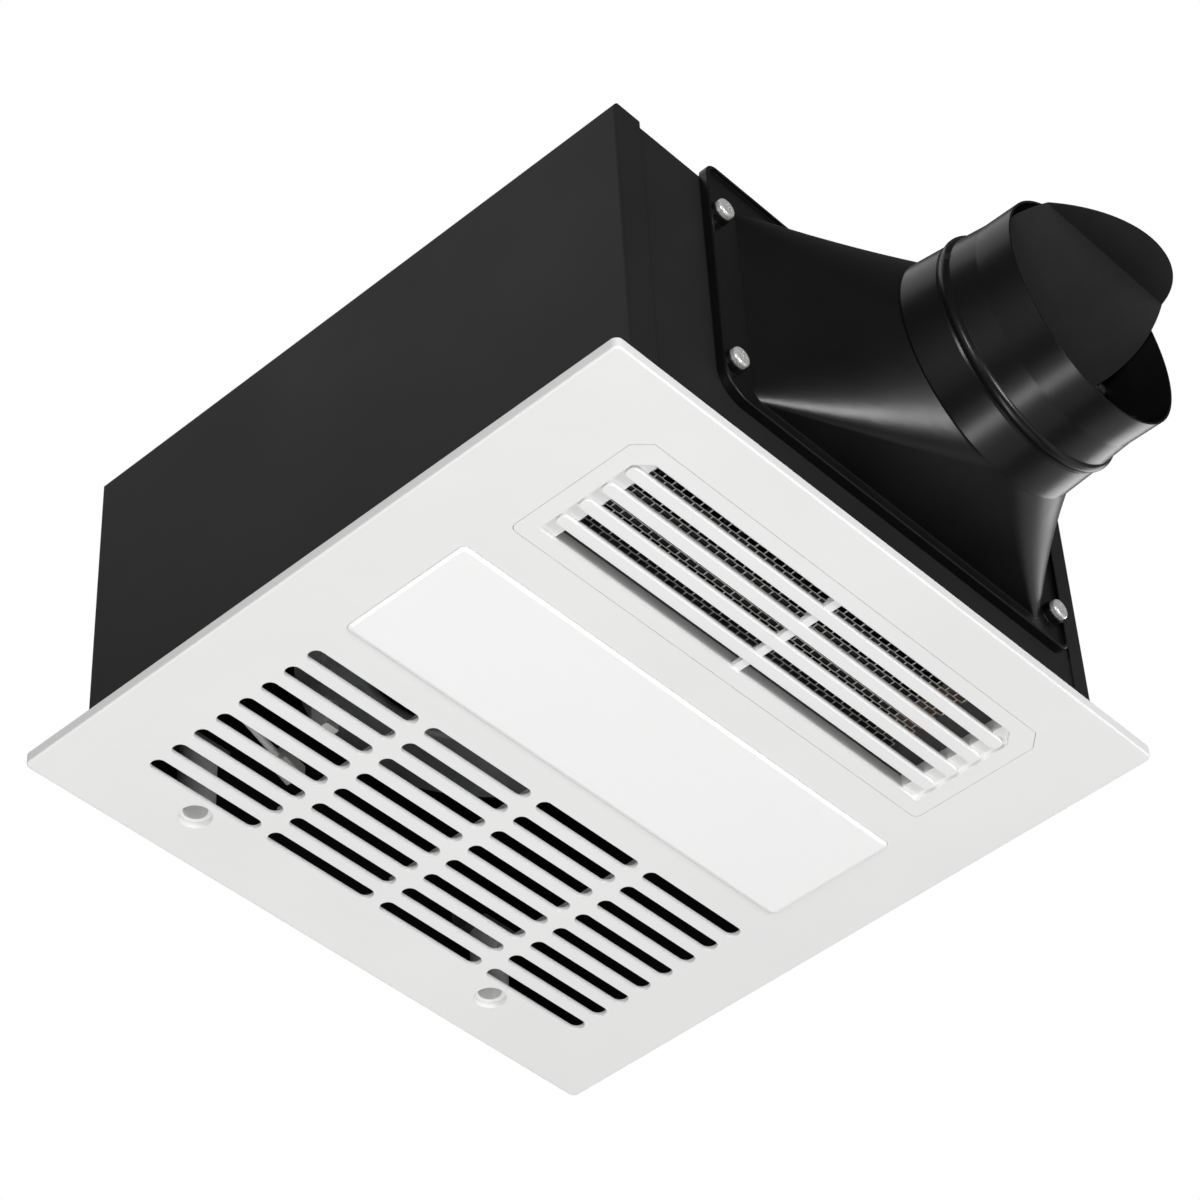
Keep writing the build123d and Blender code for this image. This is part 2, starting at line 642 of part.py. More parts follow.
def scroll_plate(margin, z0, z1):
    """A plate as large as the passage and a margin, cut off at the outlet."""
    plate = extrude(Plane.XY.offset(z0) * offset(scroll_face(), amount=margin), amount=z1 - z0)
    return plate - block((outlet_x, outlet_x + 50), (-200, 200), (z0 - 1, z1 + 1))


motor_top = scroll_top_z - scroll_sheet
motor_bottom = scroll_floor_z + motor_rise
motor_height = motor_top - motor_bottom


def motor_screw_places():
    return [Vector(motor_r - 5, 0).rotate(Axis.Z, 120 * k + 30) + Vector(wheel_x, wheel_y)
            for k in range(3)]


def make_scroll():
    wall = scroll_plate(scroll_sheet, scroll_floor_z, scroll_top_z)
    wall -= scroll_plate(0, scroll_floor_z - 1, scroll_top_z - scroll_sheet)
    wall -= block((outlet_x - 5, outlet_x + 1), outlet_y(), (scroll_floor_z - 1, motor_top))
    for x, y in post_places():
        pad = rod((x, y, motor_top), (x, y, scroll_top_z), post_r + 4)
        wall += pad - scroll_plate(0, motor_top - 1, scroll_top_z + 1)
        wall -= rod((x, y, motor_top - 1), (x, y, scroll_top_z + 1), screw_r)
    for place in motor_screw_places():
        wall -= rod((place.X, place.Y, motor_top - 1), (place.X, place.Y, scroll_top_z + 1), 1.5)
    return wall


def make_inlet_plate():
    """The bottom plate, with its inlet edge rolled up into the wheel's eye."""
    z0 = scroll_floor_z - scroll_sheet
    plate = scroll_plate(scroll_flange, z0, scroll_floor_z)
    plate -= block((body_x - sheet - lie_gap, body_x + 1), (-200, 200), (z0 - 1, z0 + 2))
    plate -= rod((wheel_x, wheel_y, z0 - 1), (wheel_x, wheel_y, z0 + 9), inlet_r)
    centre = (inlet_r, z0 + inlet_roll)
    ring = Pos(*centre) * (Circle(inlet_roll) - Circle(inlet_roll - scroll_sheet))
    ring &= Pos(inlet_r - inlet_roll / 2, z0 + inlet_roll / 2) * Rectangle(inlet_roll, inlet_roll)
    ring = Plane(origin=(wheel_x, wheel_y, 0), x_dir=(1, 0, 0), z_dir=(0, -1, 0)) * ring
    return plate + revolve(ring, Axis((wheel_x, wheel_y, 0), (0, 0, 1)))


write("blower_scroll", make_scroll())
write("blower_inlet_plate", make_inlet_plate())
write("blower_posts", *[
    tube((x, y, scroll_top_z), (x, y, -sheet), post_r, screw_r) for x, y in post_places()
])
write("blower_screws", *[pan_screw((x, y, 0), (0, 0, 1), screw_length) for x, y in post_places()])


# Exhaust wheel: a cup round the motor, a back plate, forward-curved blades and an eye ring
wheel_bottom, wheel_top = scroll_floor_z + wheel_gap, scroll_top_z - wheel_gap
wheel_height = wheel_top - wheel_bottom
cup_r = motor_r + cup_gap


def make_wheel():
    wall = 1.6
    hub_z = motor_bottom - hub_height - 2
    web_z = motor_bottom - 2 - wall
    plane = Plane(origin=(wheel_x, wheel_y, 0), x_dir=(1, 0, 0), z_dir=(0, -1, 0))
    outline = Polyline(
        (motor_shaft_r, hub_z), (hub_r, hub_z), (hub_r, web_z - 2), (hub_r + 3, web_z),
        (cup_r, web_z), (cup_r + wall, web_z + wall), (cup_r + wall, wheel_top - wall),
        (wheel_r, wheel_top - wall), (wheel_r, wheel_top), (cup_r, wheel_top),
        (cup_r, web_z + 2 * wall), (cup_r - wall, web_z + wall), (motor_shaft_r, web_z + wall),
        close=True,
    )
    axis = Axis((wheel_x, wheel_y, 0), (0, 0, 1))
    wheel = revolve(plane * make_face(outline), axis)
    wheel += tube((wheel_x, wheel_y, wheel_bottom), (wheel_x, wheel_y, wheel_bottom + 2),
                  wheel_r, wheel_eye_r)
    root = Vector(wheel_eye_r + 0.6, 0)
    tip = Vector(wheel_r - 0.4, 0).rotate(Axis.Z, -8)
    bulge = (root + tip) * 0.5 + Vector(0, 1.6)
    spine = ThreePointArc(root, bulge, tip)
    blade = extrude(Plane.XY.offset(wheel_bottom + 1) * trace(spine, line_width=blade_wall),
                    amount=wheel_height - 1 - wall / 2)
    blades = [Pos(wheel_x, wheel_y, 0) * Rot(0, 0, 360 / blade_count * k) * blade
              for k in range(blade_count)]
    return wheel.fuse(*blades)


write("exhaust_wheel", make_wheel())


# Exhaust motor: can and cap, stator and rotor core, shaft and two bushes
def at_wheel(z):
    return (wheel_x, wheel_y, z)


def make_motor_can():
    can = rod(at_wheel(motor_bottom), at_wheel(motor_top - 2), motor_r)
    can = fillet(can.faces().sort_by(Axis.Z)[0].edges(), 3)
    can -= rod(at_wheel(motor_bottom + motor_wall), at_wheel(motor_top), motor_r - motor_wall)
    can += rod(at_wheel(motor_bottom), at_wheel(motor_bottom + bush_length), bush_r + 2)
    return can - rod(at_wheel(motor_bottom - 1), at_wheel(motor_bottom + bush_length + 1), bush_r)


def make_motor_cap():
    cap = rod(at_wheel(motor_top - 2), at_wheel(motor_top), motor_r)
    cap += rod(at_wheel(motor_top - bush_length), at_wheel(motor_top), bush_r + 2)
    cap -= rod(at_wheel(motor_top - bush_length - 1), at_wheel(motor_top + 1), bush_r)
    for place in motor_screw_places():
        cap -= rod((place.X, place.Y, motor_top - 3), (place.X, place.Y, motor_top + 1), 1.5)
    return cap


stator_z = (motor_bottom + bush_length, motor_top - bush_length)
shaft_z = (motor_bottom - hub_height - 2, motor_top)


def make_stator():
    """A ring of steel with eight pole slots open to the bore."""
    stator = tube(at_wheel(stator_z[0]), at_wheel(stator_z[1]), motor_r - motor_wall, stator_bore_r)
    slot = block((stator_bore_r - 1, motor_r - 8), (-2.2, 2.2), (stator_z[0] - 1, stator_z[1] + 1))
    for k in range(8):
        stator -= Pos(wheel_x, wheel_y, 0) * Rot(0, 0, 45 * k) * slot
    return stator


write("exhaust_motor_can", make_motor_can())
write("exhaust_motor_cap", make_motor_cap())
write("exhaust_stator", make_stator())
write("exhaust_rotor_core", tube(at_wheel(stator_z[0]), at_wheel(stator_z[1]),
                                 stator_bore_r - 0.5, motor_shaft_r))
write("exhaust_shaft", rod(at_wheel(shaft_z[0]), at_wheel(shaft_z[1]), motor_shaft_r))
write("exhaust_bushes", *[
    tube(at_wheel(z), at_wheel(z + bush_length), bush_r, motor_shaft_r + shaft_gap)
    for z in (motor_bottom, motor_top - bush_length)
])
write("exhaust_motor_screws", *[
    pan_screw((p.X, p.Y, scroll_top_z), (0, 0, 1), scroll_sheet + 2 + 2, 1.5, 3.0)
    for p in motor_screw_places()
])


# Heater module: duct, guard, element, cross-flow wheel and its motor
heater_x = (louvre_x - heater_length / 2, louvre_x + heater_length / 2)
heater_y = (-heater_width / 2, heater_width / 2)
heater_floor = flange_top
bar_length = heater_width - 2 * bar_end
crossflow_length = heater_width - 2 * crossflow_end


def make_heater_duct():
    duct = open_box(heater_x, heater_y, (heater_floor, heater_top), heater_sheet, -1)
    duct -= block((heater_x[0] - 1, heater_x[0] + 2 * heater_sheet),
                  (heater_y[0] + 12, heater_y[1] - 12), (crossflow_z - 4, heater_top - 4))
    for side in (-1, 1):
        end = side * heater_width / 2
        x = (louvre_x - strap_width / 2, louvre_x + strap_width / 2)
        duct += block(x, sorted((end, end - side * heater_sheet)), (heater_top - 1, -sheet))
        duct += block(x, sorted((end, end + side * strap_foot)), (-sheet - heater_sheet, -sheet))
    ends = heater_y[0] - 1, heater_y[1] + 1
    return duct - rod((louvre_x, ends[0], crossflow_z), (louvre_x, ends[1], crossflow_z), 6.0)


def make_guard():
    """A flat net in a brick pattern: each row is shifted by half a gap."""
    inner_x = (heater_x[0] + heater_sheet + slip_gap, heater_x[1] - heater_sheet - slip_gap)
    inner_y = (heater_y[0] + heater_sheet + slip_gap, heater_y[1] - heater_sheet - slip_gap)
    plate = block(inner_x, inner_y, (guard_z, guard_z + guard_thick))
    pitch_x = (inner_x[1] - inner_x[0] - guard_wire) / guard_rows
    pitch_y = (inner_y[1] - inner_y[0] - guard_wire) / (guard_columns + 0.5)
    gaps = []
    for row in range(guard_rows):
        x = inner_x[0] + guard_wire + pitch_x * row
        for column in range(guard_columns):
            y = inner_y[0] + guard_wire + pitch_y * (column + 0.5 * (row % 2))
            gaps.append(block((x, x + pitch_x - guard_wire), (y, y + pitch_y - guard_wire),
                              (guard_z - 1, guard_z + 2)))
    return plate.cut(*gaps)


def bar_places():
    inner = heater_length - 2 * heater_sheet - 6
    step = (inner - bar_wall) / (bar_count - 1)
    first = louvre_x - inner / 2
    return [(first + step * k, first + step * k + bar_wall) for k in range(bar_count)]


def make_fins():
    """Zigzag strips that fill the gaps between the element's bars."""
    fins = []
    bars = bar_places()
    folds = int(bar_length / fin_pitch * 2)
    step = bar_length / folds
    for low, high in zip(bars[:-1], bars[1:]):
        left, right = low[1] + fin_wall, high[0] - fin_wall
        points = [((left, right)[k % 2], -bar_length / 2 + step * (k + 0.5)) for k in range(folds)]
        strip = trace(Polyline(*points), line_width=fin_wall)
        fins.append(extrude(Plane.XY.offset(bar_z[0]) * strip, amount=bar_height))
    return fins


def make_element_frame():
    """Two moulded ends that hold the bars, each with two terminals above it."""
    bars = bar_places()
    ends = []
    for side in (-1, 1):
        y = sorted((side * bar_length / 2, side * (heater_width / 2 - heater_sheet - slip_gap)))
        end = block((bars[0][0], bars[-1][1]), y, bar_z)
        for x in (bars[1][0], bars[-2][0]):
            end += block((x - 2, x + 2), (sum(y) / 2 - 2, sum(y) / 2 + 2), (bar_z[1], bar_z[1] + 6))
        ends.append(end)
    return ends


def make_crossflow():
    """A long wheel of curved blades between five discs."""
    blade_r = crossflow_r - 0.4
    root = Vector(crossflow_r - 5.5, 0)
    tip = Vector(blade_r, 0).rotate(Axis.Z, 12)
    bulge = (root + tip) * 0.5 + Vector(0.7, -0.8)
    blade = trace(ThreePointArc(root, bulge, tip), line_width=0.7)
    low = -crossflow_length / 2
    length = crossflow_length
    plane = Plane(origin=(louvre_x, low, crossflow_z), x_dir=(1, 0, 0), z_dir=(0, 1, 0))
    spokes = [extrude(plane * (Rot(0, 0, 360 / crossflow_blades * k) * blade), amount=length)
              for k in range(crossflow_blades)]
    discs = []
    for k in range(5):
        y = low + (length - 1.2) * k / 4
        inner = crossflow_shaft_r if k in (0, 4) else crossflow_r - 6.5
        discs.append(tube((louvre_x, y, crossflow_z), (louvre_x, y + 1.2, crossflow_z),
                          crossflow_r, inner))
    return discs[0].fuse(*discs[1:], *spokes)


def make_volute():
    """A bent guide sheet behind the wheel that turns the air down onto the element."""
    near = crossflow_r + 3
    right = heater_x[1] - heater_sheet - lie_gap - 0.4
    top = crossflow_z + crossflow_r + 1.6
    path = Line((right, bar_z[1] + 9), (right, crossflow_z + 4))
    path += ThreePointArc((right, crossflow_z + 4),
                          (louvre_x + near * 0.80, crossflow_z + near * 0.72),
                          (louvre_x + 4, top))
    sheet_part = trace(path, line_width=heater_sheet)
    return along_y(sheet_part, -crossflow_length / 2 - 2, crossflow_length / 2 + 2)


def heater_rod(y0, y1, radius):
    return rod((louvre_x, y0, crossflow_z), (louvre_x, y1, crossflow_z), radius)


motor_y = heater_y[1] + lie_gap
heater_motor_length = body_y - motor_y - heater_motor_room
write("heater_duct", make_heater_duct())
write("heater_guard", make_guard())
write("element_frame", *make_element_frame())
write("element_bars", *[
    block(x, (-bar_length / 2, bar_length / 2), bar_z) for x in bar_places()
])
write("element_fins", *make_fins())
write("crossflow_wheel", make_crossflow())
write("crossflow_volute", make_volute())
write("crossflow_shaft", heater_rod(heater_y[0] - 3, motor_y + heater_motor_length - 3,
                                    crossflow_shaft_r))
write("crossflow_bush", heater_rod(heater_y[0] - 4, heater_y[0] + 2, 6.0)
      - heater_rod(heater_y[0] - 5, heater_y[0] + 3, crossflow_shaft_r + shaft_gap))


def make_heater_motor():
    motor = heater_rod(motor_y, motor_y + heater_motor_length, heater_motor_r)
    motor = fillet(motor.faces().sort_by(Axis.Y)[-1].edges(), 2)
    motor += heater_rod(heater_y[1] - heater_sheet - 1, motor_y, 6.0 - slip_gap)
    for side in (-1, 1):
        x = louvre_x + side * (heater_motor_r + 3)
        motor += rod((x, motor_y, crossflow_z), (x, motor_y + 2, crossflow_z), 5)
    bore = heater_rod(heater_y[1] - 5, motor_y + heater_motor_length - 2.5,
                      crossflow_shaft_r + shaft_gap)
    return motor - bore


def make_cutout():
    """A round thermostat with two tabs, on the duct's inner side wall."""
    x, y, z = heater_x[0], heater_y[1] - cutout_inset, bar_z[0] + cutout_r / 2
    button = rod((x, y, z), (x - 6, y, z), cutout_r)
    plate = block((x - 1, x), (y - cutout_plate / 2, y + cutout_plate / 2), (z - 6, z + 6))
    for side in (-1, 1):
        tab_y = y + side * cutout_r / 2
        button += block((x - 13, x - 6), (tab_y - 1, tab_y + 1), (z - 3, z + 3))
    return button + plate


write("heater_motor", make_heater_motor())
write("thermal_cutout", make_cutout())


# Capacitor, on a clip under the top plate
capacitor_place = (-20.0, -106.0, -sheet - 3.0 - capacitor_r)


def make_capacitor():
    x, y, z = capacitor_place
    case = rod((x, y, z), (x + capacitor_length, y, z), capacitor_r)
    return fillet(case.edges().filter_by(GeomType.CIRCLE), 1.5)


def make_capacitor_clip():
    x, y, z = capacitor_place
    x += capacitor_length / 2 - 6
    band = tube((x, y, z), (x + 12, y, z), capacitor_r + 1, capacitor_r)
    return band + block((x, x + 12), (y - 6, y + 6), (z + capacitor_r + 0.6, -sheet))


write("capacitor", make_capacitor())
write("capacitor_clip", make_capacitor_clip())


# Wiring: junction box with its cover, terminal block, cable clamp, sockets, plugs and leads
box_x = (-body_x + bend, -body_x + bend + box_length)
box_y = (cable_y - box_width / 2, cable_y + box_width / 2)
box_top = -sheet
box_bottom = box_top - box_height


def make_junction_box():
    box = open_box(box_x, box_y, (box_bottom, box_top), box_sheet, -1)
    box -= rod((box_x[0] - 1, cable_y, cable_z), (box_x[0] + 2, cable_y, cable_z), cable_hole_r)
    tab = block((box_x[1] - box_sheet - 8, box_x[1] - box_sheet), (cable_y - 5, cable_y + 5),
                (box_bottom, box_bottom + 1.6))
    box += tab
    return box - rod((box_x[1] - 5, cable_y, box_bottom - 1), (box_x[1] - 5, cable_y, box_bottom + 3),
                     screw_r)


def make_cover():
    cover = block(box_x, box_y, (box_bottom - box_sheet, box_bottom))
    cover -= rod((box_x[1] - 5, cable_y, box_bottom - 2), (box_x[1] - 5, cable_y, box_bottom + 1),
                 screw_r)
    for k in range(3):
        cover -= lead_hole(k)
    return cover


def lead_x(k):
    return box_x[0] + 16 + 14 * k


def lead_hole(k):
    return rod((lead_x(k), cable_y, box_bottom - 3), (lead_x(k), cable_y, box_bottom + 1), lead_r + 0.4)


def make_terminal_block():
    x, z = sum(box_x) / 2 + 6, box_top - 15
    body = block((x - 18, x + 18), (cable_y - 9, cable_y + 9), (z, box_top - box_sheet))
    for k in range(3):
        body -= rod((x - 12 + 12 * k, cable_y, z - 1), (x - 12 + 12 * k, cable_y, z + 8), 3.2)
    return body


def make_clamp():
    """A strain relief: a flanged ring in the hole and a split saddle inside."""
    x = -body_x
    ring = tube((x - 2, cable_y, cable_z), (x + 12, cable_y, cable_z), cable_hole_r - slip_gap, 8.5)
    ring += tube((x - 2, cable_y, cable_z), (x, cable_y, cable_z), cable_hole_r + 3, 8.5)
    nut_x = box_x[0] + box_sheet
    ring += tube((nut_x, cable_y, cable_z), (nut_x + 3, cable_y, cable_z), cable_hole_r + 3, 8.5)
    return ring


plug_size = (14.0, 9.0, 7.0)


def lead_route(k):
    """A lead's corner points, from inside the box to the end in its plug."""
    start = Vector(lead_x(k), cable_y, box_bottom + 4)
    if k == 0:
        rest = [(lead_x(k), cable_y, z_face + 60), (-108.5, -88, z_face + 41), (-115, -60, z_face + 39)]
    elif k == 1:
        rest = [(lead_x(k), cable_y, z_face + 66), (-84, -103, z_face + 38), (-60, -103, z_face + 37)]
    else:
        rest = [(lead_x(k), cable_y, box_bottom - 17), (-78, -69, box_bottom - 29),
                (-78, -69, z_face + 36)]
    return [start] + [Vector(*point) for point in rest]


def make_plug(k):
    """A small moulded plug with a latch, pushed over the end of a lead."""
    length, width, height = plug_size
    before, end = lead_route(k)[-2:]
    plane = Plane(origin=end, z_dir=end - before)
    body = extrude(plane * RectangleRounded(width, height, 0.8), amount=length)
    latch = Pos(0, height / 2 + 0.5) * Rectangle(3, 1.8)
    return body + extrude(plane.offset(2) * latch, amount=length - 4)


def make_lead(k):
    """A lead from inside the box to its plug: straight runs joined by tangent arcs."""
    path = FilletPolyline(*lead_route(k), radius=lead_bend)
    return sweep(Plane(path @ 0, z_dir=path % 0) * Circle(lead_r), path=path)


write("junction_box", make_junction_box())
write("junction_cover", make_cover())
write("junction_screw", pan_screw((box_x[1] - 5, cable_y, box_bottom - box_sheet), (0, 0, -1),
                                  screw_length))
write("terminal_block", make_terminal_block())
write("cable_clamp", make_clamp())
write("plugs", *[make_plug(k) for k in range(3)])
write("leads", *[make_lead(k) for k in range(3)])
write("earth_screw", pan_screw((*earth_place, -sheet), (0, 0, -1), sheet))
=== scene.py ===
import json
import math

import bmesh
import bpy
from mathutils import Matrix, Vector


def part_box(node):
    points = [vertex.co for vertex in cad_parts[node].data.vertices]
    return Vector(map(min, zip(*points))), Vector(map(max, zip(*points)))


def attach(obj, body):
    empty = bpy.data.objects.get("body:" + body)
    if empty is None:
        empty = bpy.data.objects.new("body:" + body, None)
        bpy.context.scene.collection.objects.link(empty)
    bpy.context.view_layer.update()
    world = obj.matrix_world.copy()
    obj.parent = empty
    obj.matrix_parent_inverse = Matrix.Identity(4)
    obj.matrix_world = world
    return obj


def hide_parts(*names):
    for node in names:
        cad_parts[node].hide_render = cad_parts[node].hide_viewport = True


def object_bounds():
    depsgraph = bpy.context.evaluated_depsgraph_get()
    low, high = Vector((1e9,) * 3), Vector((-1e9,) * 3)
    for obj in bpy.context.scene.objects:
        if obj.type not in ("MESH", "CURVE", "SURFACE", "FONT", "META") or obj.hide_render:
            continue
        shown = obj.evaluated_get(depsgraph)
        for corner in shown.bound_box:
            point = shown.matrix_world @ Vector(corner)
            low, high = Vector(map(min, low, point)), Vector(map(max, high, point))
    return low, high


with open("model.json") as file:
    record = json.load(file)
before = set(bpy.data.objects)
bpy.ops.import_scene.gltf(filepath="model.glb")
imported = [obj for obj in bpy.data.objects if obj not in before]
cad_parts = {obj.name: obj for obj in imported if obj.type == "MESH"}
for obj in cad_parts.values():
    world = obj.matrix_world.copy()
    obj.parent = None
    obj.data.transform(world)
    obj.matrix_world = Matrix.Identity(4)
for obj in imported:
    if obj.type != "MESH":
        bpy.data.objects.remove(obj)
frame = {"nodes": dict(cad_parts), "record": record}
cad_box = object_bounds()
nodes = frame["nodes"]

# Lengths are in metres, and in millimetres where the name ends in _mm

# Camera, at the photograph's viewing angle: it looks up at the unit from below
sensor_mm, lens_mm = 36, 113.41
camera_place = Vector((0.72198, -0.83849, -1.12055))
camera_right = Vector((0.7338743, 0.6779306, -0.0428785))
camera_down = Vector((-0.4897812, 0.4843474, -0.7249289))
camera_ahead = Vector((-0.4706834, 0.5530078, 0.6874878))

# Guard of woven wire: long wires side by side, and short ones between them
long_radius, short_radius, wire_sides = 0.00022, 0.00032, 5
wire_spacing, short_spacing, weave_lift = 0.0027, 0.0052, 0.00010

# Floor, a small disc far below that glows a little, so that it stays white from above
floor_radius, floor_sides, floor_z, floor_glow = 1.4, 96, -2.5, 0.45

# Lamps: name, place, width and height, power in watts
lamps = [
    ("key", (-0.09, -0.34, -1.83), (1.2, 0.28), 10),
    ("low", (0.86, -1.7, -0.55), (0.4, 0.4), 10),
    ("side", (2.1, -0.05, -0.7), (0.5, 0.5), 22),
    ("back", (-0.1, 1.75, 0.3), (1.0, 0.8), 6.5),
    ("top", (-0.65, -0.45, 1.6), (1.4, 1.4), 5),
]

# Surroundings: a bright ring below the horizon, dim above it and dim again straight below.
# The ring's edges are cosines of the angle to straight down.
above_strength, ring_strength, straight_below_share = 0.09, 0.72, 0.12
ring_top, ring_bottom = (-0.3, 0.3), (0.5, 0.7)

camera_data = bpy.data.cameras.new("camera")
camera_data.sensor_width = sensor_mm
camera_data.lens = lens_mm
camera = bpy.data.objects.new("camera", camera_data)
bpy.context.collection.objects.link(camera)
camera_turn = Matrix((camera_right, -camera_down, -camera_ahead)).transposed().to_4x4()
camera.matrix_world = Matrix.Translation(camera_place) @ camera_turn
bpy.context.scene.camera = camera


# Materials
def new_material(name):
    material = bpy.data.materials.new(name)
    material.use_nodes = True
    tree = material.node_tree
    return material, tree, tree.nodes["Principled BSDF"]


def object_place(tree, stretch=(1, 1, 1)):
    """Coordinates in metres that stay with the object, stretched along its axes."""
    place = tree.nodes.new("ShaderNodeTexCoord")
    mapping = tree.nodes.new("ShaderNodeMapping")
    mapping.inputs["Scale"].default_value = stretch
    tree.links.new(place.outputs["Object"], mapping.inputs["Vector"])
    return mapping.outputs["Vector"]


def noise(tree, place, size_mm, detail=3.0, rough=0.55):
    """Noise whose features are about the given size."""
    node = tree.nodes.new("ShaderNodeTexNoise")
    node.inputs["Scale"].default_value = 1000 / size_mm
    node.inputs["Detail"].default_value = detail
    node.inputs["Roughness"].default_value = rough
    tree.links.new(place, node.inputs["Vector"])
    return node.outputs["Fac"]


def crystals(tree, place, size_mm):
    """Cells of about the given size, each with a colour of its own."""
    node = tree.nodes.new("ShaderNodeTexVoronoi")
    node.inputs["Scale"].default_value = 1000 / size_mm
    tree.links.new(place, node.inputs["Vector"])
    return node


def spread(tree, value, low, high, start=0.3, stop=0.7):
    """Maps a value onto a range. The default start and stop take the middle of a noise."""
    node = tree.nodes.new("ShaderNodeMapRange")
    node.inputs["From Min"].default_value = start
    node.inputs["From Max"].default_value = stop
    node.inputs["To Min"].default_value = low
    node.inputs["To Max"].default_value = high
    tree.links.new(value, node.inputs["Value"])
    return node.outputs["Result"]


def tint(tree, shader, value, dark, light):
    """Colours the surface between dark and light."""
    node = tree.nodes.new("ShaderNodeMix")
    node.data_type = "RGBA"
    node.inputs["A"].default_value = (*dark, 1)
    node.inputs["B"].default_value = (*light, 1)
    tree.links.new(value, node.inputs["Factor"])
    tree.links.new(node.outputs["Result"], shader.inputs["Base Color"])


def relief(tree, shader, height, depth_mm, soft_mm=0):
    """Bump, and edges that look rounded by the given radius."""
    bump = tree.nodes.new("ShaderNodeBump")
    bump.inputs["Strength"].default_value = 1.0
    bump.inputs["Distance"].default_value = depth_mm / 1000
    tree.links.new(height, bump.inputs["Height"])
    if soft_mm:
        bevel = tree.nodes.new("ShaderNodeBevel")
        bevel.samples = 4
        bevel.inputs["Radius"].default_value = soft_mm / 1000
        tree.links.new(bevel.outputs["Normal"], bump.inputs["Normal"])
    tree.links.new(bump.outputs["Normal"], shader.inputs["Normal"])


def glow(shader, strength):
    shader.inputs["Emission Color"].default_value = (1, 1, 1, 1)
    shader.inputs["Emission Strength"].default_value = strength


def coated(name, dark, light, rough, grain_mm=0.6, depth_mm=0.02, soft_mm=0.4, specular=0.5,
           patch_mm=60):
    """Paint, powder coat or moulded plastic: fine grain, faint patches, rounded edges."""
    material, tree, shader = new_material(name)
    place = object_place(tree)
    patches = noise(tree, place, patch_mm, 4)
    grain = noise(tree, place, grain_mm, 2, 0.7)
    tint(tree, shader, spread(tree, patches, 0, 1), dark, light)
    tree.links.new(spread(tree, patches, *rough), shader.inputs["Roughness"])
    shader.inputs["Specular IOR Level"].default_value = specular
    relief(tree, shader, grain, depth_mm, soft_mm)
    return material


def metal(name, dark, light, rough, stretch=(1, 1, 1), grain_mm=1.2, patch_mm=14, soft_mm=0.2,
          depth_mm=0.01, metallic=1.0):
    """Bare or plated metal with grain that can run one way."""
    material, tree, shader = new_material(name)
    grain = noise(tree, object_place(tree, stretch), grain_mm, 4, 0.65)
    patches = noise(tree, object_place(tree), patch_mm, 3)
    tint(tree, shader, spread(tree, patches, 0, 1), dark, light)
    tree.links.new(spread(tree, grain, *rough), shader.inputs["Roughness"])
    shader.inputs["Metallic"].default_value = metallic
    relief(tree, shader, grain, depth_mm, soft_mm)
    return material


def galvanised_sheet(name):
    """Zinc-coated sheet with faint crystals."""
    material, tree, shader = new_material(name)
    place = object_place(tree)
    grey = tree.nodes.new("ShaderNodeRGBToBW")
    tree.links.new(crystals(tree, place, 7).outputs["Color"], grey.inputs["Color"])
    tint(tree, shader, grey.outputs["Val"], (0.22, 0.225, 0.23), (0.30, 0.305, 0.305))
    tree.links.new(spread(tree, grey.outputs["Val"], 0.42, 0.58, 0, 1), shader.inputs["Roughness"])
    shader.inputs["Metallic"].default_value = 0.55
    relief(tree, shader, noise(tree, place, 2.5), 0.01)
    return material


def milky(name):
    """A diffuser: bright, a little translucent, with a faint painted glow that brightens it."""
    material, tree, shader = new_material(name)
    place = object_place(tree)
    tint(tree, shader, noise(tree, place, 90, 2), (0.90, 0.90, 0.895), (0.94, 0.94, 0.935))
    shader.inputs["Roughness"].default_value = 0.42
    shader.inputs["Subsurface Weight"].default_value = 0.25
    shader.inputs["Subsurface Radius"].default_value = (0.004, 0.004, 0.004)
    # painted glow: a faint emission that makes the lens brighter, though it is no lamp
    glow(shader, 0.03)
    relief(tree, shader, noise(tree, place, 1.0), 0.006, 0.5)
    return material


def foam_sheet(name):
    """Dark foam with open cells, painted darker in the middle of each cell where the bump sinks:
    painted shade in the pores.
    """
    material, tree, shader = new_material(name)
    cells = crystals(tree, object_place(tree), 0.7).outputs["Distance"]
    # painted shade: the colour follows the cell distance, darker at each cell's middle where the
    # bump makes a pit
    tint(tree, shader, cells, (0.012, 0.012, 0.012), (0.035, 0.035, 0.035))
    shader.inputs["Roughness"].default_value = 0.9
    relief(tree, shader, cells, 0.15)
    return material


